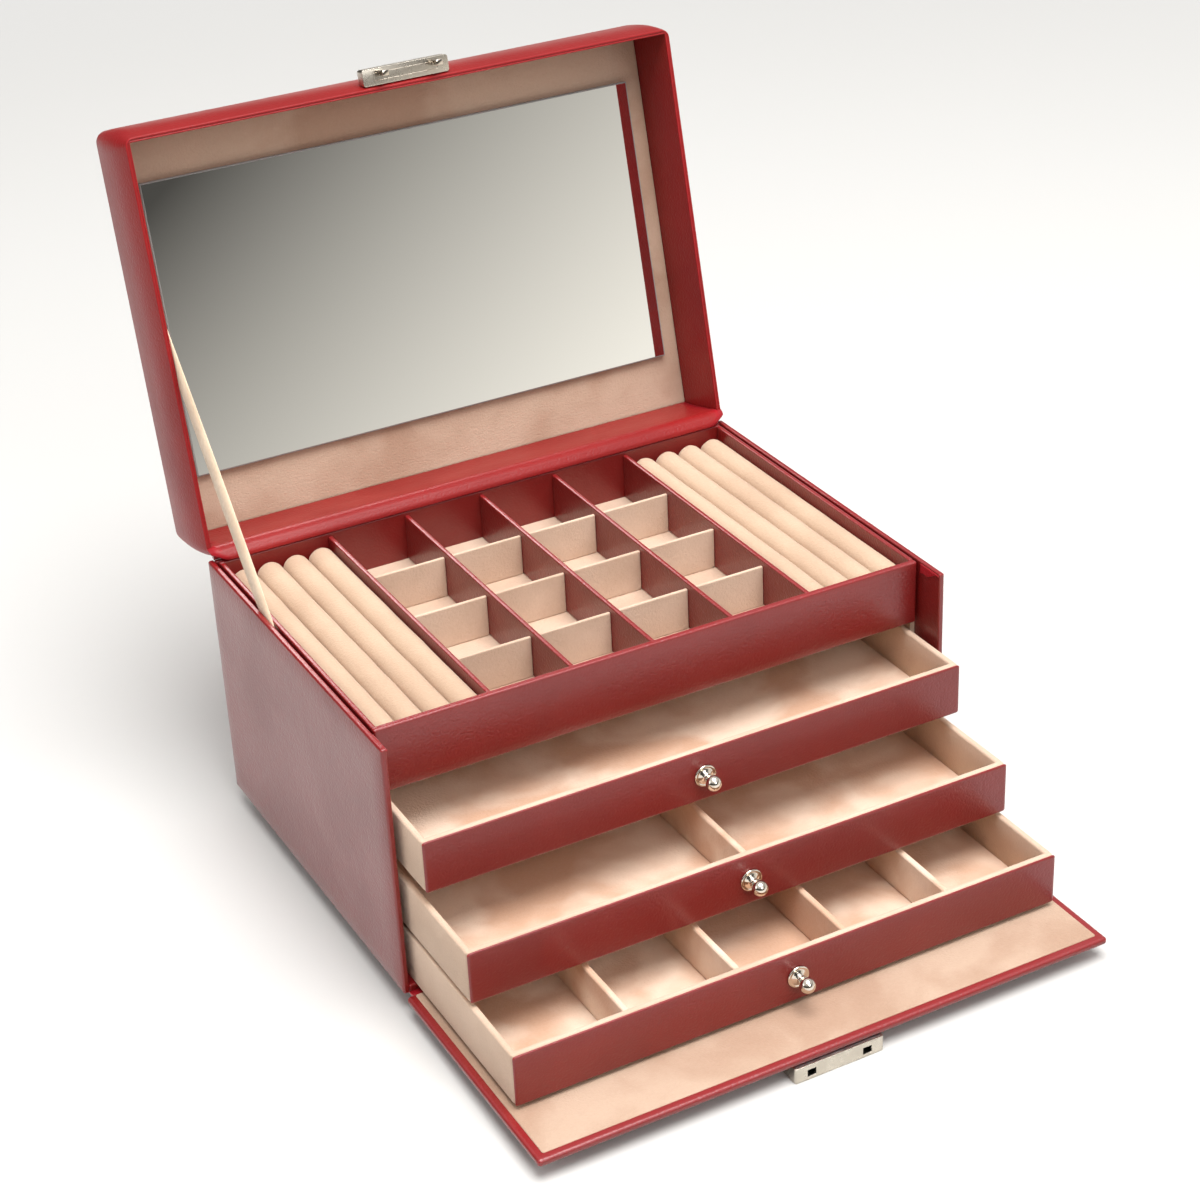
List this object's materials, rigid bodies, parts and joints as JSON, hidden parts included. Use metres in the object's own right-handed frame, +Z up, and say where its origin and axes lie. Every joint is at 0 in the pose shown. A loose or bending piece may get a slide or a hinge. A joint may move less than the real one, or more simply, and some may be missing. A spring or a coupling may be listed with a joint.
{
  "type": "leather jewellery case",
  "caption": "Red leather jewellery case with a padded mirror lid, a lined tray with ring rolls, pull-out drawers and a fold-down front flap.",
  "frame": {"origin": "on the floor under the middle of the opened case: z = 0 at the undersides of the feet and of the lock, x = 0 midway between the side walls, y = 0 midway between the lock's front and the open lid's back", "axes": "+X to the right, +Y to the back, +Z up, as seen from the front, where the drawers open towards -Y"},
  "size_m": [0.266, 0.3912, 0.3196],
  "materials": {
    "red_leather": "smooth, softly shining",
    "beige_velour": "short matt nap",
    "beige_ribbon": "woven, satin",
    "polished_nickel": "polished, slightly warm",
    "plain_steel": "plain, bright",
    "mirror_glass": "silvered glass with ground edges"
  },
  "bodies": {
    "case": {"base_board": "red_leather", "left_side_wall": "red_leather", "right_side_wall": "red_leather", "back_wall": "red_leather", "bay_liners": "beige_velour", "drawer_shelves": "beige_velour", "feet": "polished_nickel", "lid_hinge_bead": "red_leather", "flap_hinge_bead": "red_leather", "tray_floor": "beige_velour", "tray_front_panel": "red_leather", "tray_back_rail": "red_leather", "tray_left_rail": "red_leather", "tray_right_rail": "red_leather", "tray_lining": "beige_velour", "column_divider_1": "red_leather", "column_divider_2": "red_leather", "column_divider_3": "red_leather", "column_divider_4": "red_leather", "column_divider_5": "red_leather", "cross_dividers_1": "beige_velour", "cross_dividers_2": "beige_velour", "cross_dividers_3": "beige_velour", "cross_dividers_4": "beige_velour", "ring_rolls_left": "beige_velour", "ring_rolls_right": "beige_velour"},
    "lid": {"lid_top_panel": "red_leather", "lid_front_wall": "red_leather", "lid_back_wall": "red_leather", "lid_left_wall": "red_leather", "lid_right_wall": "red_leather", "lid_lining": "beige_velour", "mirror": "mirror_glass", "lid_plate": "polished_nickel", "lid_prongs": "polished_nickel", "lid_hinge_band": "red_leather", "stay_ribbon": "beige_ribbon"},
    "flap": {"flap_board": "red_leather", "flap_lining": "beige_velour", "lock_housing": "polished_nickel", "lock_back_plate": "plain_steel", "friction_spring": "plain_steel"},
    "latch": {"lock_slider": "plain_steel"},
    "top_drawer": {"top_drawer_floor": "beige_velour", "top_drawer_walls": "beige_velour", "top_drawer_facing": "red_leather", "top_drawer_knob": "polished_nickel", "top_drawer_screw": "plain_steel"},
    "middle_drawer": {"middle_drawer_floor": "beige_velour", "middle_drawer_walls": "beige_velour", "middle_drawer_facing": "red_leather", "middle_drawer_knob": "polished_nickel", "middle_drawer_screw": "plain_steel", "middle_drawer_divider": "beige_velour"},
    "bottom_drawer": {"bottom_drawer_floor": "beige_velour", "bottom_drawer_walls": "beige_velour", "bottom_drawer_facing": "red_leather", "bottom_drawer_knob": "polished_nickel", "bottom_drawer_screw": "plain_steel", "bottom_drawer_dividers": "beige_velour"}
  },
  "joints": [
    {"name": "lid_hinge", "type": "hinge", "parent": "case", "child": "lid", "pos_m": [0, 0.1118, 0.1284], "axis": [1, 0, 0], "range_deg": [0, 102.8], "deforming": ["stay_ribbon"]},
    {"name": "top_drawer_slide", "type": "slide", "parent": "case", "child": "top_drawer", "axis": [0, -1, 0], "range_m": [-0.0353, 0.0747]},
    {"name": "middle_drawer_slide", "type": "slide", "parent": "case", "child": "middle_drawer", "axis": [0, -1, 0], "range_m": [-0.0706, 0.0394]},
    {"name": "bottom_drawer_slide", "type": "slide", "parent": "case", "child": "bottom_drawer", "axis": [0, -1, 0], "range_m": [-0.1059, 0.0041]},
    {"name": "flap_hinge", "type": "hinge", "parent": "case", "child": "flap", "pos_m": [0, -0.0757, 0.0087], "axis": [-1, 0, 0], "range_deg": [0, 1]},
    {"name": "latch_slide", "type": "slide", "parent": "flap", "child": "latch", "axis": [-1, 0, 0], "range_m": [0, 0.003]}
  ]
}
